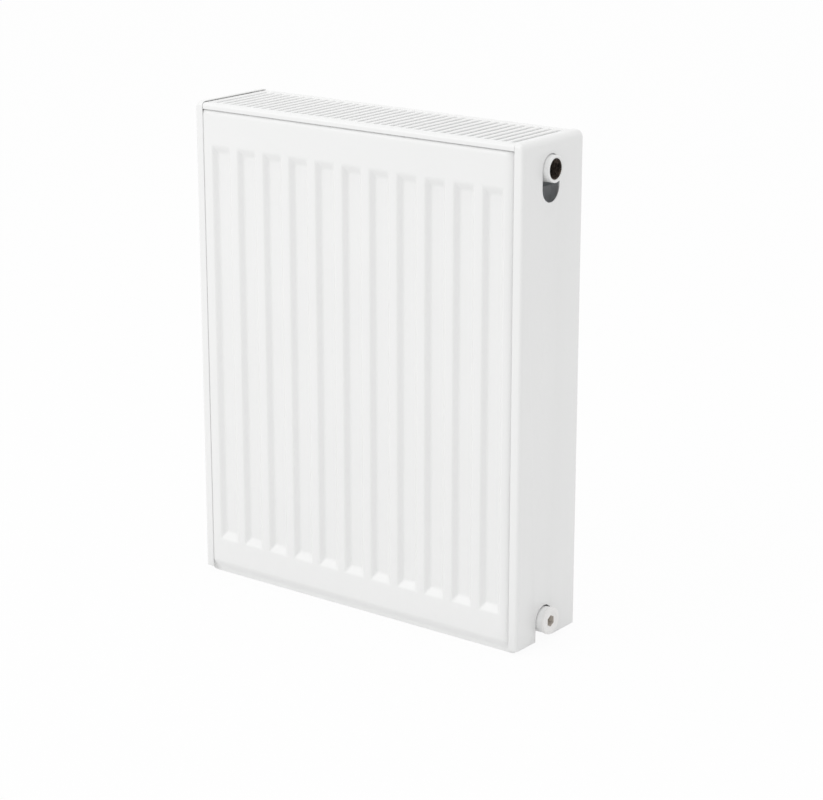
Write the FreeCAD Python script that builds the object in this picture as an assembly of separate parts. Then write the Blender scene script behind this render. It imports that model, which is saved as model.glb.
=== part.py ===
"""Pressed-steel panel radiator with two panels, two convectors, a top grille and two side covers.

Millimetres.  Seen from the front, +X is to the right, -Y is towards the viewer and +Z is up.
The origin is the middle of the bottom of the radiator's bounding box.
"""

import FreeCAD
import Part

import math
import os

from FreeCAD import Vector

# --- envelope over the covers and the grille ---------------------------------------------------
LENGTH = 400.0
HEIGHT = 500.0
DEPTH = 100.0

# --- sheet thicknesses -------------------------------------------------------------------------
PANEL_SHEET = 1.2
CONVECTOR_SHEET = 0.5
COVER_SHEET = 1.0
GRILLE_SHEET = 1.0
CLIP_SHEET = 0.6
LUG_SHEET = 2.5

# --- panels: a raised face inside a flat seam, with flutes pressed back between the channels ----
CHANNEL_PITCH = 100.0 / 3.0
PRESS_DEPTH = 5.0
SEAM_WIDTH = 5.0
SHOULDER_RUN = 5.0
SEAM_CORNER = 2.0
FLUTE_WIDTH = 24.6
FLUTE_RUN = 6.6             # width of the slopes at a flute's sides and ends
CREST_RADIUS = 5.0
ROOT_RADIUS = 3.5
PANEL_HEADROOM = 2.1        # seam's top edge to the underside of the grille
REAR_SPACE = 9.0            # rear panel's face to the covers' rear edge, filled by the lugs

# --- connectors: a barrel between the panels and a threaded branch out of the side, G 1/2 -------
HUB_HEIGHT = 25.0           # lower connectors' axis above the bottom
HUB_SPACING_LOSS = 54.0     # overall height less the distance between the connectors' axes
BARREL_OD = 23.0
BARREL_BORE = 16.0
BARREL_LAND = 0.5           # flat header beyond the barrel, before the flutes start
HUB_EDGE = 3.0              # flat header between the barrel and the end of the raised face
BOSS_OD = 26.0
BOSS_LENGTH = 20.0
BOSS_PROUD = 5.5            # boss beyond the cover
THREAD_BORE_R = 9.3         # over the crests of the G 1/2 thread
THREAD_LENGTH = 14.0
MOUTH_CHAMFER = 1.6

# --- convectors: a folded sheet with a base on every channel ------------------------------------
CONVECTOR_GAP = 5.0         # between the two convectors' tips
CONVECTOR_END_GAP = 11.5    # to the connectors' barrels
FIN_BASE = 10.0
FIN_LEAN = 1.5

# --- side covers -------------------------------------------------------------------------------
COVER_FLANGE = 10.0
COVER_FOOT = 5.0            # covers end this far above the panels' bottom edge
COVER_EDGE_RADIUS = 3.5
COVER_END_RADIUS = 7.0
SLOT_SIDE_GAP = 1.0         # slot's side to the boss
SLOT_HEADROOM = 1.0         # slot's top to the boss
COVER_LIFT = 18.5           # travel from rest until the slot's foot reaches the boss
LIFT_END_GAP = 0.5
NOTCH_HEADROOM = 1.5
PANEL_END_CLEARANCE = 0.9   # seam's edge to the clip's back

# --- top grille --------------------------------------------------------------------------------
GRILLE_END_GAP = 0.5
GRILLE_DROP = 1.4           # grille's top below the covers' top
GRILLE_FLANGE = 6.1
GRILLE_BEND = 2.0           # inside radius of the fold
SLOT_PITCH = 10.0
SLOT_WIDTH = 4.4
SLOT_BORDER = 10.0          # front and rear edge of the grille to the slots' ends
SLOT_END_MARGIN = 9.0
LIP_SHEET = 0.8
LIP_DEPTH = 1.2

# --- clips -------------------------------------------------------------------------------------
CLIP_GAP = 0.3              # clip's leg to the seam it straddles
CLIP_REACH = 3.5
CLIP_WIDTH = 14.0
CLIP_FOOT = 5.5
CLIP_STEM_GAP = 1.0         # slots' ends to the middle of a grille clip's stem
GRILLE_CLIP_INSET = 80.0    # from the grille's end
COVER_CLIP_INSET = 90.0     # lower cover clip above the bottom

# --- plugs -------------------------------------------------------------------------------------
PLUG_OD = 27.0
PLUG_FLANGE = 3.2
PLUG_EDGE = 0.6
PLUG_SHANK = 10.0
PLUG_THREAD_GAP = 0.05
SOCKET_ACROSS_FLATS = 10.0
SOCKET_DEPTH = 7.0
SEAL_OD = 24.0
SEAL_HEIGHT = 1.2
SEAL_GAP = 0.1
VENT_RIM = 1.2
VENT_HEX = 22.0
VENT_RECESS_R = 5.5
VENT_RECESS_DEPTH = 3.0
VENT_HOLE_R = 1.0
VENT_SEAT = 1.5
SCREW_R = 3.0
SCREW_RUNNING_GAP = 0.08
SCREW_SEAT_GAP = 0.05
SCREW_SQUARE = 4.8
SCREW_TIP_R = 1.8
SCREW_TIP_LENGTH = 1.5

# --- hanging lugs ------------------------------------------------------------------------------
LUG_FLUTE = 2               # each lug bridges this flute, counted from the end, the first being 0
LUG_FOOT = 10.0
LUG_HEIGHT = 32.0
LUG_INSET = 85.0            # lug's middle from the radiator's top or bottom
LUG_BEND = 1.0
LUG_CLEARANCE = 0.5         # lug's face inside the covers' rear edge

# --- derived places ----------------------------------------------------------------------------
HALF_LENGTH = LENGTH / 2
FRONT = -DEPTH / 2
REAR = DEPTH / 2

channel_count = round(LENGTH / CHANNEL_PITCH)
flute_count = channel_count - 1
channel_x = [(k - (channel_count - 1) / 2) * CHANNEL_PITCH for k in range(channel_count)]
flute_x = [(k - (flute_count - 1) / 2) * CHANNEL_PITCH for k in range(flute_count)]

face_y = FRONT + COVER_SHEET                       # front panel's raised face
back_y = REAR - REAR_SPACE                         # rear panel's raised face
hub_y = (face_y + back_y) / 2                      # connectors' plane, midway between the panels
seam_y = face_y + PRESS_DEPTH + PANEL_SHEET        # front panel's seam between its two sheets
inner_face_y = seam_y + PRESS_DEPTH + PANEL_SHEET  # front panel's face towards the middle
barrel_length = 2 * (hub_y - inner_face_y)

panel_half = HALF_LENGTH - COVER_SHEET - CLIP_SHEET - PANEL_END_CLEARANCE
grille_top = HEIGHT - GRILLE_DROP
grille_under = grille_top - GRILLE_SHEET
panel_bottom = 0.0
panel_top = grille_under - PANEL_HEADROOM
face_margin = SEAM_WIDTH + SHOULDER_RUN

hub_low = HUB_HEIGHT
hub_high = HUB_HEIGHT + HEIGHT - HUB_SPACING_LOSS
hub_x = panel_half - face_margin - HUB_EDGE - BARREL_OD / 2
boss_end = HALF_LENGTH + BOSS_PROUD
flute_bottom = hub_low + BARREL_OD / 2 + BARREL_LAND
flute_top = hub_high - BARREL_OD / 2 - BARREL_LAND

grille_half = HALF_LENGTH - COVER_FLANGE - GRILLE_END_GAP
plug_bore_r = THREAD_BORE_R - PLUG_THREAD_GAP


# --- shapes used more than once ----------------------------------------------------------------
def fused(shapes):
    """One shape from several that touch or overlap."""
    return shapes[0].multiFuse(shapes[1:]).removeSplitter() if len(shapes) > 1 else shapes[0]


def cylinder(radius, start, direction, length):
    """Solid cylinder from the point start along direction."""
    return Part.makeCylinder(radius, length, start, direction)


def box_between(low, high):
    """Axis-aligned box from its low corner to its high corner."""
    return Part.makeBox(high.x - low.x, high.y - low.y, high.z - low.z, low)


def rounded_outline(corners, place):
    """Face inside the corners (u, v, radius), each rounded to its radius, or sharp at 0.

    The corners are listed anticlockwise or clockwise and place maps (u, v) to a point.
    """
    points = [Vector(u, v, 0) for u, v, _ in corners]
    stops = []
    for index, (corner, (_, _, radius)) in enumerate(zip(points, corners)):
        if not radius:
            stops.append((corner,))
            continue
        before = (corner - points[index - 1]).normalize()
        after = (points[(index + 1) % len(points)] - corner).normalize()
        turn = abs(math.atan2(before.cross(after).z, before.dot(after)))
        start = corner - before * (radius * math.tan(turn / 2))
        end = corner + after * (radius * math.tan(turn / 2))
        inward = (after - before).normalize()
        middle = corner + inward * (radius / math.cos(turn / 2) - radius)
        stops.append((start, middle, end))
    edges = []
    for index, stop in enumerate(stops):
        arc = [place(point.x, point.y) for point in stop]
        if len(arc) == 3:
            edges.append(Part.Arc(*arc).toShape())
        following = stops[(index + 1) % len(stops)][0]
        following = place(following.x, following.y)
        if arc[-1].distanceToPoint(following) > 1e-6:
            edges.append(Part.LineSegment(arc[-1], following).toShape())
    return Part.Face(Part.Wire(edges))


def bent_strip(corners, inside_radius, sheet, place, along):
    """Sheet folded along its middle line through corners (u, v) and extruded.

    place maps (u, v) to a point and along is the vector of the extrusion.  With no inside radius
    the folds are sharp.
    """
    radius = inside_radius + sheet / 2
    line = [Vector(u, v, 0) for u, v in corners]
    sides = {+1: [], -1: []}        # +1 is the side to the left of the direction of travel
    for index, corner in enumerate(line):
        before = (corner - line[index - 1]).normalize() if index else None
        after = (line[index + 1] - corner).normalize() if index < len(line) - 1 else None
        if before is None or after is None:
            way = after if before is None else before
            left = Vector(-way.y, way.x, 0)
            for side, stops in sides.items():
                stops.append((corner + left * (side * sheet / 2),))
            continue
        turn = math.atan2(before.cross(after).z, before.dot(after))
        if not inside_radius:
            bisector = (Vector(-before.y, before.x, 0) + Vector(-after.y, after.x, 0)).normalize()
            for side, stops in sides.items():
                stops.append((corner + bisector * (side * sheet / 2 / math.cos(turn / 2)),))
            continue
        hand = 1 if turn > 0 else -1
        reach = radius * math.tan(abs(turn) / 2)
        start = corner - before * reach
        end = corner + after * reach
        centre = start + Vector(-before.y, before.x, 0) * (hand * radius)
        middle = centre + (corner - centre).normalize() * radius
        for side, stops in sides.items():
            scale = (radius - hand * side * sheet / 2) / radius
            stops.append(tuple(centre + (point - centre) * scale for point in (start, middle, end)))

    def run(stops):
        edges = []
        for index, stop in enumerate(stops):
            points = [place(point.x, point.y) for point in stop]
            if index:
                edges.append(Part.LineSegment(last, points[0]).toShape())
            if len(points) == 3:
                edges.append(Part.Arc(*points).toShape())
            last = points[-1]
        return edges

    left, right = run(sides[+1]), run([stop[::-1] for stop in sides[-1][::-1]])
    ends = [(sides[+1][-1][0], sides[-1][-1][0]), (sides[-1][0][0], sides[+1][0][0])]
    caps = [Part.LineSegment(*(place(point.x, point.y) for point in end)).toShape() for end in ends]
    outline = Part.Wire(left + [caps[0]] + right + [caps[1]])
    return Part.Face(outline).extrude(along)


def hexagon(across_flats, x, y, z, depth):
    """Hexagonal prism along +X from the plane at x, a flat towards +Z."""
    radius = across_flats / math.sqrt(3)
    turns = [math.radians(60 * k) for k in range(7)]
    points = [Vector(x, y + radius * math.cos(turn), z + radius * math.sin(turn)) for turn in turns]
    return Part.Face(Part.makePolygon(points)).extrude(Vector(depth, 0, 0))


def mirrored_x(shape):
    """The same piece on the other side, left for right."""
    return shape.mirror(Vector(0, 0, 0), Vector(1, 0, 0))


def mirrored_y(shape, y):
    """The same piece on the other side of the plane at y."""
    return shape.mirror(Vector(0, y, 0), Vector(0, 1, 0))


# --- panels ------------------------------------------------------------------------------------
def pressed_profile(low, high, run, from_y, to_y, beyond, radii, place):
    """Face of a tray's section: flat at from_y, slopes run in from low and high, flat again at to_y.

    The face reaches back from from_y by beyond.  radii are those of the bends at from_y and at to_y,
    0 for sharp ones.
    """
    back = from_y + beyond
    spread = PRESS_DEPTH
    return rounded_outline([
        (low - spread, back, 0), (low - spread, from_y, 0), (low, from_y, radii[0]),
        (low + run, to_y, radii[1]), (high - run, to_y, radii[1]),
        (high, from_y, radii[0]), (high + spread, from_y, 0), (high + spread, back, 0),
    ], place)


def crossed(profile, x_span, z_span):
    """Solid that has the same profile (low, high, place) across its x_span and up its z_span."""
    upright = profile(*x_span, lambda x, y: Vector(x, y, 0)).extrude(Vector(0, 0, HEIGHT))
    level = profile(*z_span, lambda z, y: Vector(-HALF_LENGTH, y, z)).extrude(Vector(LENGTH, 0, 0))
    return upright.common(level)


def pressing(soft):
    """Front panel's outer half as a solid block: seam slab, raised face and flutes.

    Its bends are rounded if soft and sharp if not.
    """
    floor_y = seam_y - PANEL_SHEET
    crest, root = (CREST_RADIUS, ROOT_RADIUS) if soft else (0, 0)

    def raised(low, high, place):
        return pressed_profile(low, high, SHOULDER_RUN, floor_y, face_y, PANEL_SHEET, (root, crest), place)

    def flute(low, high, place):
        return pressed_profile(low, high, FLUTE_RUN, face_y, floor_y, -PRESS_DEPTH, (crest, root), place)

    slab = rounded_outline([
        (-panel_half, panel_bottom, SEAM_CORNER), (panel_half, panel_bottom, SEAM_CORNER),
        (panel_half, panel_top, SEAM_CORNER), (-panel_half, panel_top, SEAM_CORNER),
    ], lambda x, z: Vector(x, seam_y, z)).extrude(Vector(0, -PANEL_SHEET, 0))
    face = crossed(raised, (-panel_half + SEAM_WIDTH, panel_half - SEAM_WIDTH),
                   (panel_bottom + SEAM_WIDTH, panel_top - SEAM_WIDTH))
    flutes = [crossed(flute, (x - FLUTE_WIDTH / 2, x + FLUTE_WIDTH / 2), (flute_bottom, flute_top))
              for x in flute_x]
    return slab.fuse(face).cut(flutes).removeSplitter()


def pressed_sheet(soft):
    """Front panel's outer sheet: the pressing less its own copy set back by the sheet's thickness."""
    block = pressing(soft)
    return block.cut(block.translated(Vector(0, PANEL_SHEET, 0)))


def inner_sheet():
    """Front panel's inner sheet: the same pressing facing the middle, holed at its four connectors.

    It is out of sight between the panels, so its bends are left sharp.
    """
    holes = [
        cylinder(BARREL_BORE / 2, Vector(side * hub_x, seam_y, z), Vector(0, 1, 0), inner_face_y - seam_y + 1)
        for side in (-1, 1)
        for z in (hub_low, hub_high)
    ]
    return mirrored_y(pressed_sheet(False), seam_y).cut(holes)


# --- convectors --------------------------------------------------------------------------------
def convector():
    """Front convector: one sheet folded to and fro, with a base on every channel of the inner sheet."""
    depth = (barrel_length - CONVECTOR_GAP) / 2 - CONVECTOR_SHEET
    near = inner_face_y + CONVECTOR_SHEET / 2
    corners = [(channel_x[0] - FIN_BASE / 2, near)]
    for x, following in zip(channel_x, channel_x[1:]):
        corners += [
            (x + FIN_BASE / 2, near),
            (x + FIN_BASE / 2 + FIN_LEAN, near + depth),
            (following - FIN_BASE / 2 - FIN_LEAN, near + depth),
            (following - FIN_BASE / 2, near),
        ]
    corners.append((channel_x[-1] + FIN_BASE / 2, near))
    bottom = hub_low + BARREL_OD / 2 + CONVECTOR_END_GAP
    top = hub_high - BARREL_OD / 2 - CONVECTOR_END_GAP
    return bent_strip(corners, 0, CONVECTOR_SHEET, lambda x, y: Vector(x, y, bottom),
                      Vector(0, 0, top - bottom))


# --- connectors --------------------------------------------------------------------------------
def connector(z):
    """Right-hand connector: barrel between the panels, and the threaded sleeve welded to its branch."""
    out = Vector(1, 0, 0)
    axis = Vector(hub_x, hub_y, z)
    barrel_start = Vector(hub_x, inner_face_y, z)
    sleeve_start = Vector(boss_end - BOSS_LENGTH, hub_y, z)
    branch_length = sleeve_start.x - hub_x
    thread_end = boss_end - MOUTH_CHAMFER - THREAD_LENGTH
    tee = fused([
        cylinder(BARREL_OD / 2, barrel_start, Vector(0, 1, 0), barrel_length),
        cylinder(BARREL_OD / 2, axis, out, branch_length),
    ]).cut([
        cylinder(BARREL_BORE / 2, barrel_start, Vector(0, 1, 0), barrel_length),
        cylinder(BARREL_BORE / 2, axis, out, branch_length),
    ])
    mouth = Part.makeCone(THREAD_BORE_R, THREAD_BORE_R + MOUTH_CHAMFER, MOUTH_CHAMFER,
                          Vector(boss_end - MOUTH_CHAMFER, hub_y, z), out)
    sleeve = cylinder(BOSS_OD / 2, sleeve_start, out, BOSS_LENGTH).cut([
        cylinder(BARREL_BORE / 2, sleeve_start, out, BOSS_LENGTH),
        cylinder(THREAD_BORE_R, Vector(thread_end, hub_y, z), out, THREAD_LENGTH),
        mouth,
    ])
    return [tee, sleeve]


# --- side covers -------------------------------------------------------------------------------
def cover_block(inset):
    """Cover's outer form as a solid, inset by the sheet's thickness for its hollow.

    Its foot is square and open, so the cover can slide up past the panels and the lower boss.
    """
    open_side = HALF_LENGTH - COVER_FLANGE - inset
    closed_side = HALF_LENGTH - inset
    edge, end = COVER_EDGE_RADIUS - inset, COVER_END_RADIUS - inset
    foot = COVER_FOOT - inset
    plan = rounded_outline([
        (open_side, FRONT + inset, 0), (closed_side, FRONT + inset, edge),
        (closed_side, REAR - inset, edge), (open_side, REAR - inset, 0),
    ], lambda x, y: Vector(x, y, foot)).extrude(Vector(0, 0, HEIGHT - foot))
    front = rounded_outline([
        (open_side, foot, 0), (closed_side, foot, 0),
        (closed_side, HEIGHT - inset, end), (open_side, HEIGHT - inset, 0),
    ], lambda x, z: Vector(x, FRONT, z)).extrude(Vector(0, DEPTH, 0))
    return plan.common(front)


def upright_slot(half_width, low, high, x_low, x_high):
    """Tool with a round top, and a round foot where low is given, on the connectors' plane."""
    top = high - half_width
    foot = -1.0 if low is None else low + half_width
    parts = [
        box_between(Vector(x_low, hub_y - half_width, foot), Vector(x_high, hub_y + half_width, top)),
        cylinder(half_width, Vector(x_low, hub_y, top), Vector(1, 0, 0), x_high - x_low),
    ]
    if low is not None:
        parts.append(cylinder(half_width, Vector(x_low, hub_y, foot), Vector(1, 0, 0), x_high - x_low))
    return fused(parts)


def side_cover():
    """Right-hand cover: a shallow pan with a slot over the upper boss and a notch over the lower."""
    half_width = BOSS_OD / 2 + SLOT_SIDE_GAP
    boss_foot = hub_high - BOSS_OD / 2
    slot = upright_slot(half_width, boss_foot - COVER_LIFT - LIFT_END_GAP, hub_high + BOSS_OD / 2 + SLOT_HEADROOM,
                        HALF_LENGTH - 2 * COVER_SHEET, HALF_LENGTH + 1)
    notch = upright_slot(half_width, None, hub_low + BOSS_OD / 2 + NOTCH_HEADROOM,
                         HALF_LENGTH - COVER_FLANGE - 2, HALF_LENGTH + 1)
    return cover_block(0.0).cut([cover_block(COVER_SHEET), slot, notch])


def cover_clip(seam, z, resting):
    """U-shaped clip on the cover's back that straddles a panel's side seam.

    A resting clip folds over at its top and sits on the seam's upper end, which carries the cover.
    """
    half = PANEL_SHEET + CLIP_GAP + CLIP_SHEET / 2
    back = HALF_LENGTH - COVER_SHEET - CLIP_SHEET / 2
    tip = panel_half - CLIP_REACH
    top = min(z + CLIP_WIDTH, HEIGHT - COVER_END_RADIUS - CLIP_GAP)
    corners = [(tip, seam - half), (back, seam - half), (back, seam + half), (tip, seam + half)]
    clip = bent_strip(corners, 0, CLIP_SHEET, lambda x, y: Vector(x, y, z), Vector(0, 0, top - z))
    if not resting:
        return clip
    over = panel_top + CLIP_SHEET / 2
    width = 2 * half + CLIP_SHEET
    fold = [(back, z), (back, top), (panel_half + CLIP_GAP, over), (panel_half - CLIP_FOOT, over)]
    tab = bent_strip(fold, 0, CLIP_SHEET, lambda x, height: Vector(x, seam - width / 2, height),
                     Vector(0, width, 0))
    return clip.fuse(tab).removeSplitter()


def cover_clips():
    """The four clips of the right-hand cover, two on each panel's seam."""
    seams = (seam_y, 2 * hub_y - seam_y)
    return [cover_clip(seam, z, resting) for seam in seams
            for z, resting in ((COVER_CLIP_INSET, False), (panel_top - CLIP_WIDTH, True))]


# --- top grille --------------------------------------------------------------------------------
def grille():
    """Folded sheet with a row of slots, each with a lip turned down along both of its sides."""
    middle = GRILLE_SHEET / 2
    corners = [(FRONT + middle, grille_top - GRILLE_FLANGE), (FRONT + middle, grille_top - middle),
               (REAR - middle, grille_top - middle), (REAR - middle, grille_top - GRILLE_FLANGE)]
    folded = bent_strip(corners, GRILLE_BEND, GRILLE_SHEET, lambda y, z: Vector(-grille_half, y, z),
                        Vector(2 * grille_half, 0, 0))
    count = int((2 * grille_half - 2 * SLOT_END_MARGIN) // SLOT_PITCH) + 1
    lips, slots = [], []
    for k in range(count):
        x = (k - (count - 1) / 2) * SLOT_PITCH
        for half_width, foot, top, tools in (
            (SLOT_WIDTH / 2 + LIP_SHEET, grille_under - LIP_DEPTH, grille_under + middle, lips),
            (SLOT_WIDTH / 2, grille_under - LIP_DEPTH - 1, HEIGHT + 1, slots),
        ):
            tools.append(box_between(Vector(x - half_width, FRONT + SLOT_BORDER, foot),
                                     Vector(x + half_width, REAR - SLOT_BORDER, top)))
    return folded.multiFuse(lips).removeSplitter().cut(slots)


def grille_clip(x, seam, outward):
    """Clip on the grille's underside that sits on a panel's top seam and straddles it.

    Its stem stands outside the slots' ends, on the side that outward (1 or -1) gives.
    """
    half = PANEL_SHEET + CLIP_GAP + CLIP_SHEET / 2
    low = panel_top - CLIP_REACH
    bridge = panel_top + CLIP_SHEET / 2
    top = grille_under - CLIP_SHEET / 2
    stem = outward * (DEPTH / 2 - SLOT_BORDER + CLIP_STEM_GAP)
    strips = [
        [(seam - half, low), (seam - half, bridge), (stem, bridge), (stem, top),
         (stem + outward * CLIP_FOOT, top)],
        [(seam + half, low), (seam + half, bridge)],
    ]
    return fused([
        bent_strip(corners, 0, CLIP_SHEET, lambda y, z: Vector(x - CLIP_WIDTH / 2, y, z),
                   Vector(CLIP_WIDTH, 0, 0))
        for corners in strips
    ])


def grille_clips():
    """Four clips: two on each panel's seam."""
    return [grille_clip(side * (grille_half - GRILLE_CLIP_INSET), seam, outward)
            for side in (-1, 1) for seam, outward in ((seam_y, -1), (2 * hub_y - seam_y, 1))]


# --- plugs -------------------------------------------------------------------------------------
def plug_blank(z):
    """Right-hand plug before its socket: flange with a seal groove, and a shank in the thread."""
    out = Vector(1, 0, 0)
    start = Vector(boss_end, hub_y, z)
    flange = cylinder(PLUG_OD / 2, start, out, PLUG_FLANGE)
    rim = [edge for edge in flange.Edges if edge.BoundBox.XMin > boss_end + PLUG_FLANGE / 2]
    flange = flange.makeChamfer(PLUG_EDGE, rim)
    groove = cylinder(SEAL_OD / 2 + SEAL_GAP, start, out, SEAL_HEIGHT)
    shank = cylinder(plug_bore_r, Vector(boss_end - PLUG_SHANK, hub_y, z), out, PLUG_SHANK + SEAL_HEIGHT)
    return flange.cut(groove).fuse(shank).removeSplitter()


def seal(z):
    """Flat ring in the plug's groove, against the end of the boss."""
    start = Vector(boss_end, hub_y, z)
    ring = cylinder(SEAL_OD / 2, start, Vector(1, 0, 0), SEAL_HEIGHT)
    return ring.cut(cylinder(plug_bore_r + SEAL_GAP, start, Vector(1, 0, 0), SEAL_HEIGHT))


def blanking_plug():
    """Plug of the lower right port, turned by a hexagonal socket."""
    socket = hexagon(SOCKET_ACROSS_FLATS, boss_end + PLUG_FLANGE - SOCKET_DEPTH, hub_y, hub_low, SOCKET_DEPTH + 1)
    return plug_blank(hub_low).cut(socket)


def vent_plug():
    """Plug of the upper port with a hexagonal head and a bore for the bleed screw, drawn on the right."""
    out = Vector(1, 0, 0)
    face = boss_end + PLUG_FLANGE
    rim_face = boss_end + SEAL_HEIGHT + VENT_RIM
    keep = hexagon(VENT_HEX, rim_face, hub_y, hub_high, face - rim_face)
    collar = cylinder(PLUG_OD, Vector(rim_face, hub_y, hub_high), out, face - rim_face + 1).cut(keep)
    inner_end = boss_end - PLUG_SHANK
    seat = inner_end + VENT_SEAT
    return plug_blank(hub_high).cut([
        collar,
        cylinder(VENT_RECESS_R, Vector(face - VENT_RECESS_DEPTH, hub_y, hub_high), out, VENT_RECESS_DEPTH + 1),
        cylinder(SCREW_R + SCREW_RUNNING_GAP, Vector(seat, hub_y, hub_high), out, face - seat),
        cylinder(VENT_HOLE_R, Vector(inner_end - 1, hub_y, hub_high), out, VENT_SEAT + 2),
    ])


def bleed_screw():
    """Screw in the vent plug, with a square end for the key and a conical tip, drawn on the right."""
    out = Vector(1, 0, 0)
    face = boss_end + PLUG_FLANGE
    start = boss_end - PLUG_SHANK + VENT_SEAT + SCREW_SEAT_GAP
    shank_start = start + SCREW_TIP_LENGTH
    recess = face - VENT_RECESS_DEPTH
    half = SCREW_SQUARE / 2
    tip = Part.makeCone(SCREW_TIP_R, SCREW_R, SCREW_TIP_LENGTH, Vector(start, hub_y, hub_high), out)
    square = box_between(Vector(recess - 1, hub_y - half, hub_high - half),
                         Vector(face, hub_y + half, hub_high + half))
    key_end = square.common(cylinder(SCREW_R, Vector(recess - 1, hub_y, hub_high), out, face))
    return fused([tip, cylinder(SCREW_R, Vector(shank_start, hub_y, hub_high), out, recess - shank_start), key_end])


# --- hanging lugs ------------------------------------------------------------------------------
def lug(z):
    """Right-hand lug: a strap that bridges one flute on the rear panel, welded to the channels beside it."""
    x = flute_x[-1 - LUG_FLUTE]
    proud = REAR - LUG_CLEARANCE - LUG_SHEET / 2
    foot = back_y + LUG_SHEET / 2
    leg = (CHANNEL_PITCH - LUG_FOOT) / 2
    corners = [(x - leg - LUG_FOOT, foot), (x - leg, foot), (x - leg, proud),
               (x + leg, proud), (x + leg, foot), (x + leg + LUG_FOOT, foot)]
    return bent_strip(corners, LUG_BEND, LUG_SHEET, lambda u, y: Vector(u, y, z - LUG_HEIGHT / 2),
                      Vector(0, 0, LUG_HEIGHT))


# --- the whole radiator ------------------------------------------------------------------------
def build():
    """Every node's name with its solids."""
    outer = pressed_sheet(True)
    inner = inner_sheet()
    fins = convector()
    right = {
        "top_right_connector": connector(hub_high),
        "bottom_right_connector": connector(hub_low),
        "right_side_cover": [side_cover()],
        "right_cover_clips": cover_clips(),
        "upper_right_lug": [lug(HEIGHT - LUG_INSET)],
        "lower_right_lug": [lug(LUG_INSET)],
    }
    left = {name.replace("right", "left"): [mirrored_x(solid) for solid in solids]
            for name, solids in right.items()}
    return {
        "front_panel_outer_sheet": [outer],
        "front_panel_inner_sheet": [inner],
        "rear_panel_inner_sheet": [mirrored_y(inner, hub_y)],
        "rear_panel_outer_sheet": [mirrored_y(outer, hub_y)],
        "front_convector": [fins],
        "rear_convector": [mirrored_y(fins, hub_y)],
        "top_grille": [grille()],
        "grille_clips": grille_clips(),
        "blanking_plug": [blanking_plug()],
        "blanking_plug_seal": [seal(hub_low)],
        "vent_plug": [mirrored_x(vent_plug())],
        "vent_plug_seal": [mirrored_x(seal(hub_high))],
        "bleed_screw": [mirrored_x(bleed_screw())],
        **right,
        **left,
    }


os.makedirs("parts", exist_ok=True)
for name, solids in build().items():
    shape = solids[0] if len(solids) == 1 else Part.makeCompound(solids)
    shape.exportStep("parts/" + name + ".step")
    print(name, "valid", shape.isValid(), "solids", len(shape.Solids), "cm3", round(shape.Volume / 1000, 2))
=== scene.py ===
"""Looks of a pressed-steel panel radiator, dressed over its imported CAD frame.

Metres.  Seen from the front, +X is to the right, -Y is towards the viewer and +Z is up.
The sheets are rebuilt with the soft bends of pressed steel, and every finish is procedural.
"""

import logging
import math
from contextlib import contextmanager
from dataclasses import dataclass
from enum import Enum
from typing import Callable, ClassVar, Iterable, Iterator, Sequence

import bmesh
import bpy
from mathutils import Matrix, Vector


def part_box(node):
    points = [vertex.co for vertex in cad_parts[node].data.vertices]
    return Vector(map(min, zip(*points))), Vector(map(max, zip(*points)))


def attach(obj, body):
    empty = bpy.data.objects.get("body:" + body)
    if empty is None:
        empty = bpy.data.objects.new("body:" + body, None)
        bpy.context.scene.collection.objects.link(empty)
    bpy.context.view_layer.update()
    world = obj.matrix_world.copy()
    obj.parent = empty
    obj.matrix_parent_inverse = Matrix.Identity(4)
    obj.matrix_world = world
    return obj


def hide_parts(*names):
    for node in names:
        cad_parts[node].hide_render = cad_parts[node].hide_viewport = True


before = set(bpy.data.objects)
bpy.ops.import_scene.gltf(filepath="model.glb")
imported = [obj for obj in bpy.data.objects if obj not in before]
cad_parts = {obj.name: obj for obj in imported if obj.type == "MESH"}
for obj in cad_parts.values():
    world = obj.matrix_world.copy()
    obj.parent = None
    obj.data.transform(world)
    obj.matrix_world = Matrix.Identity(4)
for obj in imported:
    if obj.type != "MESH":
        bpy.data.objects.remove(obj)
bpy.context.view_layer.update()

LOG = logging.getLogger("radiator")
MM = 0.001
WELD = 1e-6  # points closer than this are one
QUARTER = math.pi / 2

Point = tuple[float, float, float]
Flat = tuple[float, float]
Ring = list[bmesh.types.BMVert]
Piece = bpy.types.Object
Tree = bpy.types.NodeTree
Node = bpy.types.Node
Socket = bpy.types.NodeSocket
Coat = bpy.types.Material
Measure = float | Callable[[float], float]  # the same all round, or one for each direction


class Side(Enum):
    """Which end of the radiator a piece stands at."""

    LEFT = "left"
    RIGHT = "right"


class Facing(Enum):
    """Which way a pressed panel shows its face."""

    FRONT = -1
    REAR = 1


class Level(Enum):
    """Height at which a connector stands."""

    TOP = "top"
    BOTTOM = "bottom"


# --- node trees ---
def connect(socket: Socket, value: object) -> None:
    """Give an input a value.

    Args:
        socket: The input.
        value: Term or socket to link, or a plain value to set.
    """
    value = value.socket if isinstance(value, Term) else value
    if isinstance(value, Socket):
        socket.id_data.links.new(value, socket)
    else:
        socket.default_value = value


def set_inputs(node: Node, **inputs: object) -> Node:
    """Give inputs their values.

    Args:
        node: Node that has them.
        inputs: Values by input name, with an underscore for a space.

    Returns:
        The node.
    """
    for name, value in inputs.items():
        connect(node.inputs[name.replace("_", " ")], value)
    return node


def add_node(tree: Tree, kind: str, **inputs: object) -> Node:
    """New node of a kind, with its inputs set."""
    return set_inputs(tree.nodes.new(kind), **inputs)


def math_method(operation: str) -> Callable[..., "Term"]:
    """Method of a term that adds a Math node of the given operation.

    Args:
        operation: Math node's operation.

    Returns:
        The method.
    """
    def method(self: "Term", *others: "Term | float") -> "Term":
        """The Math node's result."""
        return self.apply(operation, *others)
    return method


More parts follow.
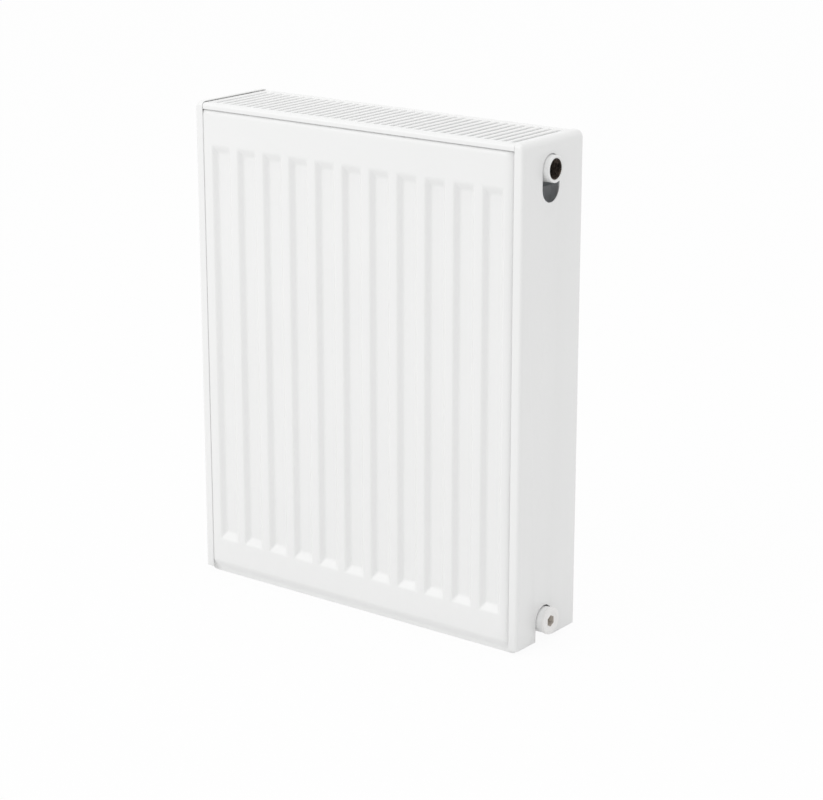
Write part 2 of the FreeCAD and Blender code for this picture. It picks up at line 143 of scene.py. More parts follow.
class Term:
    """Value in a node tree that takes Python's operators."""

    def __init__(self, socket: Socket) -> None:
        """Keep the socket that carries the value."""
        self.socket = socket
        self.tree = socket.id_data

    def apply(self, operation: str, *others: "Term | float") -> "Term":
        """One Math node.

        Args:
            operation: Math node's operation.
            others: Its further operands.

        Returns:
            The node's result.
        """
        node = self.tree.nodes.new("ShaderNodeMath")
        node.operation = operation
        for socket, value in zip(node.inputs, (self, *others)):
            connect(socket, value)
        return Term(node.outputs[0])

    __add__ = math_method("ADD")
    __sub__ = math_method("SUBTRACT")
    __mul__ = math_method("MULTIPLY")
    __truediv__ = math_method("DIVIDE")
    size = math_method("ABSOLUTE")
    at_least = math_method("MAXIMUM")
    at_most = math_method("MINIMUM")

    def rest(self) -> "Term":
        """What is left to 1."""
        return self * -1.0 + 1.0

    def long_side(self, other: "Term") -> "Term":
        """Hypotenuse over two values."""
        return (self * self + other * other).apply("SQRT")

    def eased(self, low: float, high: float) -> "Term":
        """Smooth step from 0 at the low value to 1 at the high one.

        Args:
            low: Value at and below which the step is 0.
            high: Value at and above which the step is 1.

        Returns:
            The step's height.
        """
        node = add_node(self.tree, "ShaderNodeMapRange", Value=self, From_Min=low, From_Max=high)
        node.interpolation_type = "SMOOTHSTEP"
        return Term(node.outputs["Result"])


class ShapeTree:
    """Geometry tree with named inputs, from its Geometry input to Realize Instances and Set Material."""

    def __init__(self, name: str) -> None:
        """Start an empty tree.

        Args:
            name: Tree's name.
        """
        self.tree = bpy.data.node_groups.new(name, "GeometryNodeTree")
        for way in ("INPUT", "OUTPUT"):
            self.tree.interface.new_socket("Geometry", in_out=way, socket_type="NodeSocketGeometry")
        self.source = self.tree.nodes.new("NodeGroupInput")
        self.sink = self.tree.nodes.new("NodeGroupOutput")
        self.named: dict[str, str] = {}

    def take(self, name: str, kind: str) -> Socket:
        """Named input of a kind of socket."""
        item = self.tree.interface.new_socket(name, in_out="INPUT", socket_type=kind)
        self.named[name] = item.identifier
        return self.source.outputs[name]

    def number(self, name: str, kind: str = "NodeSocketFloat") -> Term:
        """Named input that is a number."""
        return Term(self.take(name, kind))

    def place(self) -> tuple[Term, Term, Term]:
        """Coordinates of the point that the tree works on.

        Returns:
            Its x, y and z.
        """
        point = add_node(self.tree, "GeometryNodeInputPosition").outputs[0]
        split = add_node(self.tree, "ShaderNodeSeparateXYZ", Vector=point)
        return tuple(Term(socket) for socket in split.outputs)

    def vector(self, x: "Term | float", y: "Term | float", z: "Term | float") -> Socket:
        """Vector from three values."""
        return add_node(self.tree, "ShaderNodeCombineXYZ", X=x, Y=y, Z=z).outputs[0]

    def close(self, geometry: Socket) -> "ShapeTree":
        """End the tree.

        Args:
            geometry: What the tree has made so far.

        Returns:
            The tree itself.
        """
        finish = self.take("Finish", "NodeSocketMaterial")
        real = add_node(self.tree, "GeometryNodeRealizeInstances", Geometry=geometry)
        coat = add_node(self.tree, "GeometryNodeSetMaterial", Geometry=real.outputs[0], Material=finish)
        self.tree.links.new(coat.outputs[0], self.sink.inputs[0])
        return self

    def close_moved(self, x: Term, y: Term, z: Term) -> "ShapeTree":
        """End the tree with its points moved to the given coordinates."""
        return self.close(add_node(self.tree, "GeometryNodeSetPosition", Geometry=self.source.outputs[0],
                                   Position=self.vector(x, y, z)).outputs[0])

    def run_on(self, piece: Piece, **values: object) -> None:
        """Give a piece the tree's result as a plain mesh.

        Args:
            piece: Object whose mesh goes in and is replaced.
            values: Named inputs.
        """
        modifier = piece.modifiers.new(self.tree.name, "NODES")
        modifier.node_group = self.tree
        for name, value in values.items():
            modifier[self.named[name]] = value
        settle(piece)


def row_tree(name: str) -> ShapeTree:
    """Tree that repeats a cell in a row along X and welds the copies.

    Args:
        name: Tree's name.

    Returns:
        The tree, with the inputs Count, Pitch and Shift.
    """
    tree = ShapeTree(name)
    count = tree.number("Count", "NodeSocketInt")
    pitch, shift = tree.number("Pitch"), tree.number("Shift")
    start, step = tree.vector((count - 1.0) * pitch * -0.5 + shift, 0.0, 0.0), tree.vector(pitch, 0.0, 0.0)
    row = add_node(tree.tree, "GeometryNodeMeshLine", Count=count, Start_Location=start, Offset=step)
    row = add_node(tree.tree, "GeometryNodeInstanceOnPoints", Points=row.outputs[0],
                   Instance=tree.source.outputs[0])
    row = add_node(tree.tree, "GeometryNodeRealizeInstances", Geometry=row.outputs[0])
    row = add_node(tree.tree, "GeometryNodeMergeByDistance", Geometry=row.outputs[0], Distance=0.02 * MM)
    return tree.close(row.outputs[0])


# --- mesh making ---
def put(name: str, data: bpy.types.ID) -> Piece:
    """New object at the origin, in the scene.

    Args:
        name: Object's name.
        data: Its mesh, lamp or camera.

    Returns:
        The object.
    """
    made = bpy.data.objects.new(name, data)
    bpy.context.scene.collection.objects.link(made)
    return made


def settle(piece: Piece) -> None:
    """Turn a piece's modifiers into its plain mesh and take them off.

    Args:
        piece: Piece that has them.
    """
    graph = bpy.context.evaluated_depsgraph_get()
    graph.update()
    mesh = bpy.data.meshes.new_from_object(piece.evaluated_get(graph), preserve_all_data_layers=True,
                                           depsgraph=graph)
    piece.modifiers.clear()
    piece.data = mesh


def modify(piece: Piece, kind: str, **settings: object) -> None:
    """Run one modifier on a piece.

    Args:
        piece: Piece that is changed.
        kind: Modifier's type.
        settings: Its values by name.
    """
    modifier = piece.modifiers.new(kind.title(), kind)
    for name, value in settings.items():
        setattr(modifier, name, value)
    settle(piece)


@contextmanager
def reworked(piece: Piece) -> Iterator[bmesh.types.BMesh]:
    """Piece's mesh, open to changes that the piece keeps at the end.

    Args:
        piece: Piece that is changed.

    Yields:
        The open mesh.
    """
    mesh = bmesh.new()
    mesh.from_mesh(piece.data)
    yield mesh
    mesh.to_mesh(piece.data)
    mesh.free()


class Shell:
    """Mesh in the making: rings of points joined by quads."""

    def __init__(self) -> None:
        """Start with no points."""
        self.mesh = bmesh.new()

    def ring(self, points: Iterable[Sequence[float]]) -> Ring:
        """New vertices at the given points, in order."""
        return [self.mesh.verts.new(point) for point in points]

    def join(self, first: Ring, second: Ring, closed: bool = True) -> None:
        """Quads between two rings of the same length.

        Args:
            first: One ring.
            second: The other.
            closed: Whether the last point joins the first.
        """
        count = len(first)
        for index in range(count if closed else count - 1):
            after = (index + 1) % count
            self.mesh.faces.new((first[index], first[after], second[after], second[index]))

    def fill(self, *rings: Ring) -> None:
        """Close each ring with one face.

        Args:
            rings: Rings of vertices.
        """
        for ring in rings:
            self.mesh.faces.new(ring)

    def loft(self, rings: Sequence[Iterable[Sequence[float]]], closed: bool = True) -> list[Ring]:
        """Skin over several rings.

        Args:
            rings: Points of each ring.
            closed: Whether each ring closes on itself.

        Returns:
            The rings' vertices.
        """
        made = [self.ring(points) for points in rings]
        for first, second in zip(made, made[1:]):
            self.join(first, second, closed)
        return made

    def piece(self, name: str) -> Piece:
        """Finish the mesh as an object at the origin.

        Args:
            name: Piece's name.

        Returns:
            The piece.
        """
        bmesh.ops.remove_doubles(self.mesh, verts=self.mesh.verts, dist=WELD)
        bmesh.ops.recalc_face_normals(self.mesh, faces=self.mesh.faces)
        data = bpy.data.meshes.new(name)
        self.mesh.to_mesh(data)
        self.mesh.free()
        return put(name, data)


def face_towards(piece: Piece, direction: Point) -> None:
    """Turn a skin's faces over where its widest one looks away from the direction.

    Args:
        piece: Open skin.
        direction: Where its faces have to look.
    """
    widest = max(piece.data.polygons, key=lambda polygon: polygon.area)
    if widest.normal.dot(Vector(direction)) < 0:
        piece.data.flip_normals()


def thicken(piece: Piece, sheet: float, offset: float = -1.0) -> None:
    """Give an open skin a wall: behind it at an offset of -1, on both its sides at 0."""
    modify(piece, "SOLIDIFY", thickness=sheet, offset=offset, use_even_offset=True)


def cut(piece: Piece, tools: Iterable[Piece], operation: str = "DIFFERENCE") -> None:
    """Cut tools out of a piece, or add them to it, and remove them.

    Args:
        piece: Closed solid that is changed.
        tools: Closed solids.
        operation: Boolean modifier's operation.
    """
    for tool in tools:
        modify(piece, "BOOLEAN", operation=operation, solver="EXACT", object=tool)
        bpy.data.objects.remove(tool)


def soften(piece: Piece, degrees: float = 30.0) -> None:
    """Shade a piece smooth apart from edges sharper than the angle."""
    piece.data.shade_smooth()
    piece.data.set_sharp_from_angle(angle=math.radians(degrees))


def flip_side(piece: Piece) -> None:
    """Mirror a piece's mesh left for right and keep its faces outward.

    Args:
        piece: Piece that is changed.
    """
    with reworked(piece) as mesh:
        bmesh.ops.transform(mesh, matrix=Matrix.Diagonal((-1, 1, 1, 1)), verts=mesh.verts)
        bmesh.ops.reverse_faces(mesh, faces=mesh.faces)


def turns(count: int) -> list[float]:
    """Directions evenly spread round a full turn."""
    return [2 * math.pi * k / count for k in range(count)]


def quarter_bend(steps: int) -> list[Flat]:
    """What is left to go out and how far it has come down, at each step of a quarter turn of radius 1."""
    angles = [QUARTER * k / steps for k in range(steps + 1)]
    return [(1 - math.sin(a), 1 - math.cos(a)) for a in angles]


def at(value: Measure, angle: float) -> float:
    """Value in a direction."""
    return value(angle) if callable(value) else value


def flats(sides: int, across: float) -> Measure:
    """Radius of a regular polygon in each direction, from the distance across its flats."""
    sector = 2 * math.pi / sides
    return lambda angle: across / 2 / math.cos((angle + sector / 2) % sector - sector / 2)


def circle(radius: float, centre: Point, count: int, axis: str) -> list[Point]:
    """Points of a circle.

    Args:
        radius: Circle's radius.
        centre: Its centre.
        count: Number of points.
        axis: Axis that it stands across.

    Returns:
        The points in order.
    """
    first, second = (index for index, name in enumerate("xyz") if name != axis)
    points = [list(centre) for _ in range(count)]
    for point, a in zip(points, turns(count)):
        point[first] += radius * math.cos(a)
        point[second] += radius * math.sin(a)
    return points


def solid(name: str, rings: Sequence[Iterable[Sequence[float]]], hollow: bool = False) -> Piece:
    """Closed solid over rings.

    Args:
        name: Piece's name.
        rings: Points of each ring.
        hollow: Whether the last ring joins the first, instead of both being filled.

    Returns:
        The solid.
    """
    shell = Shell()
    made = shell.loft(rings)
    if hollow:
        shell.join(made[-1], made[0])
    else:
        shell.fill(made[0], made[-1])
    return shell.piece(name)


def rod(radius: float, start: Point, stop: Point, axis: str) -> Piece:
    """Closed cylinder along an axis, between the centres of its ends."""
    return solid("rod", [circle(radius, centre, 64, axis) for centre in (start, stop)])


def turned(name: str, middle: Vector, stations: Iterable[tuple[Measure, Measure]], around: int,
           hollow: bool = False) -> Piece:
    """Part turned about the axis along X through the middle; its stations are X and radius of each ring."""
    rings = [[(at(x, a), middle.y + at(radius, a) * math.cos(a), middle.z + at(radius, a) * math.sin(a))
              for a in turns(around)] for x, radius in stations]
    return solid(name, rings, hollow)


def span(node: str) -> tuple[Vector, Vector, Vector]:
    """Lowest corner, highest corner and middle of a CAD node."""
    low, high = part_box(node)
    return low, high, (low + high) / 2


def rounded_corner(before: Flat, corner: Flat, after: Flat, radius: float, steps: int) -> list[Flat]:
    """Arc that rounds a corner of a flat line.

    Args:
        before: Point before the corner.
        corner: The corner.
        after: Point after it.
        radius: Arc's radius.
        steps: Segments of the arc.

    Returns:
        The arc's points.
    """
    into = (Vector(corner) - Vector(before)).normalized()
    out = (Vector(after) - Vector(corner)).normalized()
    turn = math.atan2(into.x * out.y - into.y * out.x, into.dot(out))
    start = Vector(corner) - into * radius * math.tan(abs(turn) / 2)
    centre = start + Vector((-into.y, into.x)) * math.copysign(radius, turn)
    arm = start - centre
    return [(centre.x + arm.x * math.cos(a) - arm.y * math.sin(a),
             centre.y + arm.x * math.sin(a) + arm.y * math.cos(a))
            for a in (turn * k / steps for k in range(steps + 1))]


# --- finishes ---
@dataclass(frozen=True)
class Pattern:
    """Noise on Object coordinates: cells per metre, finer layers and scale along each axis."""

    scale: float
    detail: float = 2.0
    stretch: Point = (1, 1, 1)

    def socket(self, tree: Tree, place: Socket) -> Socket:
        """The pattern in a tree, from 0 to 1.

        Args:
            tree: Material's tree.
            place: Object coordinates.

        Returns:
            The pattern's value.
        """
        mapping = add_node(tree, "ShaderNodeMapping", Vector=place, Scale=self.stretch)
        noise = add_node(tree, "ShaderNodeTexNoise", Vector=mapping.outputs[0], Scale=self.scale,
                         Detail=self.detail)
        return noise.outputs["Fac"]


@dataclass(frozen=True)
class Relief:
    """Fine bumps: their pattern, how strongly they shade and their height."""

    pattern: Pattern
    strength: float
    height: float


@dataclass(frozen=True)
class Finish:
    """Principled finish whose tone, roughness and relief follow patterns."""

    name: str
    low: Point  # linear tones where the cloud is low and where it is high
    high: Point
    roughness: Flat  # where the smear is low and where it is high
    cloud: Pattern
    smear: Pattern
    reliefs: tuple[Relief, ...]
    change: Flat = (0.3, 0.7)  # cloud's values between which the tone changes
    shader: tuple[tuple[str, float], ...] = ()  # further inputs of the shader

    def material(self) -> Coat:
        """Build the material.

        Returns:
            The material.
        """
        material = bpy.data.materials.new(self.name)
        material.use_nodes = True
        tree = material.node_tree
        place = add_node(tree, "ShaderNodeTexCoord").outputs["Object"]
        ramp = add_node(tree, "ShaderNodeValToRGB", Fac=self.cloud.socket(tree, place))
        for element, position, tone in zip(ramp.color_ramp.elements, self.change, (self.low, self.high)):
            element.position, element.color = position, (*tone, 1)
        rough = add_node(tree, "ShaderNodeMapRange", Value=self.smear.socket(tree, place),
                         To_Min=self.roughness[0], To_Max=self.roughness[1])
        normal = {}
        for relief in self.reliefs:
            bump = add_node(tree, "ShaderNodeBump", Strength=relief.strength, Distance=relief.height,
                            Height=relief.pattern.socket(tree, place), **normal)
            normal = {"Normal": bump.outputs[0]}
        set_inputs(tree.nodes["Principled BSDF"], Base_Color=ramp.outputs[0], Roughness=rough.outputs[0],
                   **normal, **dict(self.shader))
        return material


def stove_enamel(name: str, tone: Point, drift: float = 0.012, roughness: float = 0.36, peel: float = 0.10,
                 coat: float = 0.0) -> Coat:
    """Sprayed and baked white enamel: satin, with a fine orange peel and a faint drift of tone.

    Args:
        name: Material's name.
        tone: Linear colour.
        drift: Share by which the tone darkens in places.
        roughness: Middle roughness.
        peel: Strength of the orange peel.
        coat: Weight of the clear coat.

    Returns:
        The material.
    """
    dull = tuple(value * (1 - drift) for value in tone)
    reliefs = (Relief(Pattern(420.0, 1.0), peel, 0.0004), Relief(Pattern(28.0, 1.0), 0.05, 0.002))
    shader = (("Specular_IOR_Level", 0.45), ("Coat_Weight", coat), ("Coat_Roughness", 0.22))
    return Finish(name, dull, tone, (roughness - 0.05, roughness + 0.06), Pattern(9.0, 3.0),
                  Pattern(35.0, 3.0), reliefs, shader=shader).material()


def bare_metal(name: str, tone: Point, stain: Point, roughness: float, lay: Point = (1, 1, 1),
               metallic: float = 1.0) -> Coat:
    """Metal with fine tool marks and stains.

    Args:
        name: Material's name.
        tone: Linear colour.
        stain: Linear colour of its stains.
        roughness: Middle roughness.
        lay: Scale of the tool marks along each axis.
        metallic: How metallic it is.

    Returns:
        The material.
    """
    return Finish(name, stain, tone, (roughness - 0.06, roughness + 0.10), Pattern(160.0, 4.0),
                  Pattern(300.0), (Relief(Pattern(900.0, stretch=lay), 0.18, 0.0001),), (0.35, 0.6),
                  (("Metallic", metallic),)).material()


class Finishes:
    """Every finish of the radiator, built once."""

    def __init__(self) -> None:
        """Build the materials."""
        self.enamel = stove_enamel("stove_enamel_white", (0.88, 0.882, 0.878), coat=0.15)
        self.inside = stove_enamel("primer_enamel_inside", (0.86, 0.88, 0.90), drift=0.04, roughness=0.5)
        self.plug = stove_enamel("plug_enamel_white", (0.87, 0.86, 0.85), roughness=0.3, peel=0.06, coat=0.3)
        self.nickel = bare_metal("nickel_plate_satin", (0.72, 0.70, 0.66), (0.60, 0.57, 0.52), 0.26)
        self.brass = bare_metal("brass_screw_plated", (0.70, 0.66, 0.56), (0.56, 0.50, 0.38), 0.30)
        self.spring = bare_metal("spring_steel_zinc", (0.55, 0.57, 0.60), (0.42, 0.43, 0.45), 0.34,
                                 (1, 1, 0.1))
        self.thread = bare_metal("thread_raw_oiled", (0.13, 0.10, 0.08), (0.03, 0.022, 0.018), 0.42,
                                 metallic=0.55)
        # Dull zinc tone of the plug's shank and hex socket; in the socket its darker greyish beige is partly
        # painted shade of the recess
        self.socket = bare_metal("socket_zinc_and_painted_shade", (0.66, 0.62, 0.57), (0.52, 0.48, 0.44), 0.5,
                                 metallic=0.1)
        self.rubber = Finish("seal_rubber_black", (0.012, 0.012, 0.013), (0.035, 0.035, 0.034), (0.6, 0.8),
                             Pattern(240.0, 3.0), Pattern(500.0),
                             (Relief(Pattern(1500.0), 0.2, 0.00005),)).material()


def two_tone(piece: Piece, main: Coat, second: Coat, where: Callable[[Vector], bool]) -> None:
    """Coat a piece in two finishes.

    Args:
        piece: Piece to coat.
        main: Finish of most of it.
        second: Finish of the faces that the test picks.
        where: Test on a face's centre.
    """
    piece.data.materials.clear()
    for coat in (main, second):
        piece.data.materials.append(coat)
    for polygon in piece.data.polygons:
        polygon.material_index = int(where(polygon.center))


def dress(piece: Piece, finish: Coat, body: str, slot: str, *nodes: str) -> None:
    """Coat a finished piece, seat it on its body and let it stand for CAD nodes.

    Args:
        piece: Piece in its place.
        finish: Material, unless the piece already carries its own.
        body: CAD body that it rides on.
        slot: Name of a material slot; not used.
        nodes: CAD nodes that it replaces.
    """
    if not piece.data.materials:
        piece.data.materials.append(finish)
    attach(piece, body)
    if nodes:
        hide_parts(*nodes)
    LOG.info("%s: %d faces on %s", piece.name, len(piece.data.polygons), body)


# --- pressed panels ---
@dataclass(frozen=True)
class Slope:
    """Fall of a pressed face, gentle at its start and at its end."""

    start: float
    run: float

    def left(self, past: Term) -> Term:
        """Share of the height that is left at a distance past the nominal edge."""
        return past.eased(self.start, self.start + self.run).rest()


@dataclass(frozen=True)
class Roll(Slope):
    """Fall that starts slowly and gains speed."""

    power: float

    def left(self, past: Term) -> Term:
        """The same share, from a power of the distance."""
        share = ((past - self.start) / self.run).at_least(0.0).at_most(1.0)
        return share.apply("POWER", self.power).rest()


def spaced(start: float, step: float, count: int) -> tuple[float, ...]:
    """Evenly spaced distances, given in millimetres."""
    return tuple((start + step * k) * MM for k in range(count))


@dataclass
class PanelSheet:
    """Sheet of the front or the rear panel, or of the convector behind it."""

    finishes: Finishes
    facing: Facing
    pitch: float = 100 / 3 * MM  # of the flutes
    flutes: int = 11
    role: ClassVar[str] = ""

    def node(self) -> str:
        """CAD node that the sheet stands for."""
        return f"{self.facing.name.lower()}_{self.role}"


@dataclass
class PressedPanel(PanelSheet):
    """Outer sheet of a panel: a raised face in a flat seam, with flutes pressed back into it."""

    role: ClassVar[str] = "panel_outer_sheet"
    depth: float = 5 * MM
    sheet: float = 1.2 * MM
    margin: float = 10 * MM  # outline to the raised face
    corner: float = 8 * MM  # of the outline
    proud: float = 0.7 * MM  # face beyond the plain solid's, near the flanges beside it
    floor_half: float = 7.5 * MM  # flute's flat floor, from its middle line
    floor_inset: float = 46.2 * MM  # outline's ends to the floor's ends
    crispness: float = 0.7  # how sharp a flute's corners are, from 0 to 1
    side: Slope = Slope(-1.2 * MM, 6.8 * MM)
    end: Slope = Slope(-2.0 * MM, 11.0 * MM)  # a flute's ends slope more gently than its sides
    foot: Slope = Slope(-4.6 * MM, 12.4 * MM)  # the raised face drops to the seam along its lower edge
    left_roll: Roll = Roll(-6.0 * MM, 15.5 * MM, 3.4)  # and rolls off where the covers and the grille lap it
    right_roll: Roll = Roll(-10.5 * MM, 16.0 * MM, 2.4)
    top_roll: Roll = Roll(-1.5 * MM, 10.5 * MM, 3.6)
    flute_lines: tuple[float, ...] = (4 * MM, *spaced(5.6, 0.7, 12))  # lattice, from a flute's middle
    rim_lines: tuple[float, ...] = (0.0, 2 * MM, *spaced(3, 0.95, 16))  # from the outline
    end_lines: tuple[float, ...] = (*spaced(36, 0.9, 16), 52 * MM)  # from the outline, at the flutes' ends

    def columns(self, half: float) -> list[float]:
        """Places of the lattice's upright lines, for half of the sheet's length."""
        places = [side * line + (k - self.flutes // 2) * self.pitch
                  for k in range(self.flutes) for side in (-1, 1) for line in self.flute_lines]
        return places + [side * (half - line) for side in (-1, 1) for line in self.rim_lines]

    def rows(self, low: float, high: float) -> list[float]:
        """Places of the lattice's level lines between the sheet's ends."""
        ends = self.rim_lines + self.end_lines
        return sorted([low + step for step in ends] + [high - step for step in ends] + [(low + high) / 2])

    def rule(self, centre: float, half: Flat) -> ShapeTree:
        """Tree that presses the flat lattice.

        Args:
            centre: Height of the sheet's middle.
            half: Half of its length and of its height.

        Returns:
            The tree.
        """
        tree = ShapeTree("pressing_rule")
        face, inward, depth, pitch = (tree.number(name) for name in ("Face", "Inward", "Depth", "Pitch"))
        x, _, z = tree.place()
        rise = z - centre
        limit = float(self.flutes // 2)
        nearest = (x / pitch).apply("ROUND").at_least(-limit).at_most(limit)
        sides = self.side.left((x - nearest * pitch).size() - self.floor_half)
        ends = self.end.left(rise.size() - (half[1] - self.floor_inset))
        flute = sides.at_most(ends) * self.crispness + sides * ends * (1 - self.crispness)
        edge, brink = half[0] - self.margin, half[1] - self.margin
        raised = self.foot.left(rise * -1.0 - brink) * self.left_roll.left(x * -1.0 - edge)
        raised = raised * self.right_roll.left(x - edge) * self.top_roll.left(rise - brink)
        y = face + inward * (depth * flute + (depth + self.proud) * raised.rest() - self.proud)
        past_x = (x.size() - (half[0] - self.corner)).at_least(0.0)
        past_z = (rise.size() - (half[1] - self.corner)).at_least(0.0)
        squeeze = (past_x.at_least(past_z) / past_x.long_side(past_z).at_least(WELD)).rest()
        return tree.close_moved(x - x.apply("SIGN") * past_x * squeeze, y,
                                z - rise.apply("SIGN") * past_z * squeeze)

    def build(self) -> None:
        """Press the sheet and seat it."""
        low, high, middle = span(self.node())
        half = ((high.x - low.x) / 2, (high.z - low.z) / 2)
        face = low.y if self.facing is Facing.FRONT else high.y
        columns = sorted(self.columns(half[0]), reverse=self.facing is Facing.REAR)
        shell = Shell()
        shell.loft([[(x, face, z) for x in columns] for z in self.rows(low.z, high.z)], closed=False)
        piece = shell.piece(self.node() + "_pressed")
        face_towards(piece, (0, self.facing.value, 0))
        self.rule(middle.z, half).run_on(piece, Face=face, Inward=-float(self.facing.value), Depth=self.depth,
                                         Pitch=self.pitch, Finish=self.finishes.enamel)
        thicken(piece, self.sheet)
        soften(piece, 60)
        dress(piece, self.finishes.enamel, "radiator", "enamel", self.node())


@dataclass
class BackingSheet(PanelSheet):
    """Inner sheet of a panel: the plain solid, with its outline rounded like the outer sheet's."""

    role: ClassVar[str] = "panel_inner_sheet"
    corner: float = 8 * MM
    steps: int = 8
    spare: float = 0.02 * MM  # the rounding tool clears the straight edges

    def outline(self) -> Piece:
        """Rounded plate that the sheet is trimmed to.

        Returns:
            The plate.
        """
        low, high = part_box(self.node())
        (left, foot), (right, top) = low.xz - Vector((self.spare,) * 2), high.xz + Vector((self.spare,) * 2)
        corners = [(left, foot), (right, foot), (right, top), (left, top)]
        points = [point for k in range(4) for point in
                  rounded_corner(corners[k - 1], corners[k], corners[(k + 1) % 4], self.corner, self.steps)]
        return solid("sheet_outline", [[(x, y, z) for x, z in points] for y in (low.y - MM, high.y + MM)])

    def build(self) -> None:
        """Trim a copy of the solid and seat it."""
        shell = Shell()
        shell.mesh.from_mesh(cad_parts[self.node()].data)
        piece = shell.piece(self.node() + "_rounded")
        cut(piece, [self.outline()], "INTERSECT")
        soften(piece)
        dress(piece, self.finishes.inside, "radiator", "enamel_inside", self.node())


# --- convectors ---
@dataclass
class FoldedConvector(PanelSheet):
    """Thin sheet folded to and fro between the panels, one fold over every flute."""

    role: ClassVar[str] = "convector"
    base_half: float = 5 * MM
    lean: float = 1.5 * MM
    sheet: float = 0.5 * MM
    bend: float = 1.6 * MM

    def fold_line(self, depth: float) -> list[Flat]:
        """Middle line of one fold, rounded at its bends.

        Args:
            depth: How far the fold stands off the panel.

        Returns:
            Points (along, off) over one pitch.
        """
        half = self.pitch / 2
        base = half - self.base_half
        corners = [(-half, 0.0), (-base, 0.0), (-base + self.lean, depth),
                   (base - self.lean, depth), (base, 0.0), (half, 0.0)]
        line = [corners[0]]
        for before, corner, after in zip(corners, corners[1:], corners[2:]):
            line += rounded_corner(before, corner, after, self.bend, 4)
        return line + [corners[-1]]

    def build(self) -> None:
        """Fold the sheet and seat it."""
        low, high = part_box(self.node())
        into = -float(self.facing.value)  # away from the panel
        near = low.y if self.facing is Facing.FRONT else high.y
        middle = near + into * self.sheet / 2
        shell = Shell()
        line = self.fold_line(high.y - low.y - self.sheet)
        heights = [low.z + (high.z - low.z) * k / 4 for k in range(5)]
        shell.loft([[(u, middle + into * off, z) for u, off in line] for z in heights], closed=False)
        piece = shell.piece(self.node() + "_folds")
        row_tree("fold_row").run_on(piece, Count=self.flutes, Pitch=self.pitch, Finish=self.finishes.inside)
        self.add_end_bases(piece, middle, heights)
        thicken(piece, self.sheet, 0.0)
        soften(piece, 40)
        dress(piece, self.finishes.inside, "radiator", "enamel_inside", self.node())

    def add_end_bases(self, piece: Piece, middle: float, heights: list[float]) -> None:
        """Run the sheet out over the outermost channels.

        Args:
            piece: Row of folds.
            middle: Y of the bases' middle line.
            heights: Levels of the sheet's rows.
        """
        reach = self.flutes * self.pitch / 2
        with reworked(piece) as mesh:
            for side in (-1, 1):
                outer = [mesh.verts.new((side * (reach + self.base_half), middle, z)) for z in heights]
                ends = [Vector((side * reach, middle, z)) for z in heights]
                inner = [min(mesh.verts, key=lambda v, end=end: (v.co - end).length) for end in ends]
                for corners in zip(inner, inner[1:], outer[1:], outer):
                    mesh.faces.new(corners)
            bmesh.ops.recalc_face_normals(mesh, faces=mesh.faces)


